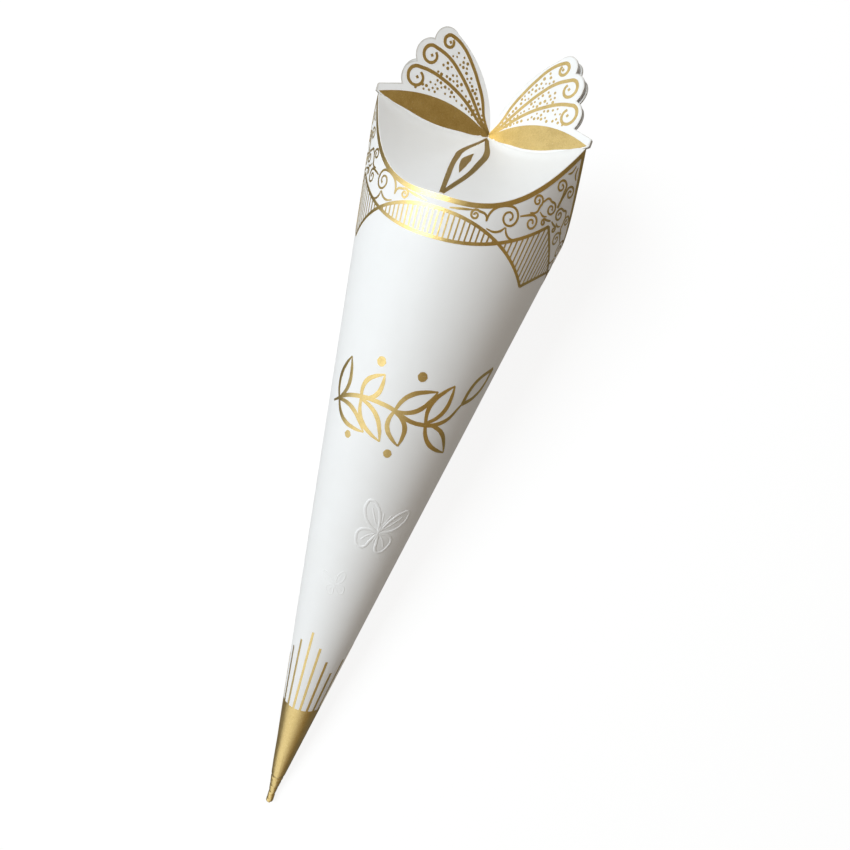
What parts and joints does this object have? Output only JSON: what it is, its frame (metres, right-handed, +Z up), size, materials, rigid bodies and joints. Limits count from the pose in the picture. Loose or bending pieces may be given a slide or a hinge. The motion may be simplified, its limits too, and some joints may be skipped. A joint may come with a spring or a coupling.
{
  "type": "paper favor cone",
  "caption": "Slender cone rolled from white card for sweets or favours, with a gold tip, a mouth closed by curved flaps and folds that stand up as butterfly wings.",
  "frame": {"origin": "on the surface that the cone lies on, under the middle of its box", "axes": "+Z up; +X along the length, from the gold tip towards the mouth; the cone lies on its side, with the front flap turned 11 degrees from straight up towards +Y"},
  "size_m": [0.2319, 0.06, 0.0572],
  "materials": {
    "white_card": "smooth matt white card with a faint sheen, about 300 g/m2",
    "gold_foil": "hot-stamped gold foil print on the card, satin"
  },
  "bodies": {
    "root": {"folded_card": "white_card"}
  },
  "joints": []
}
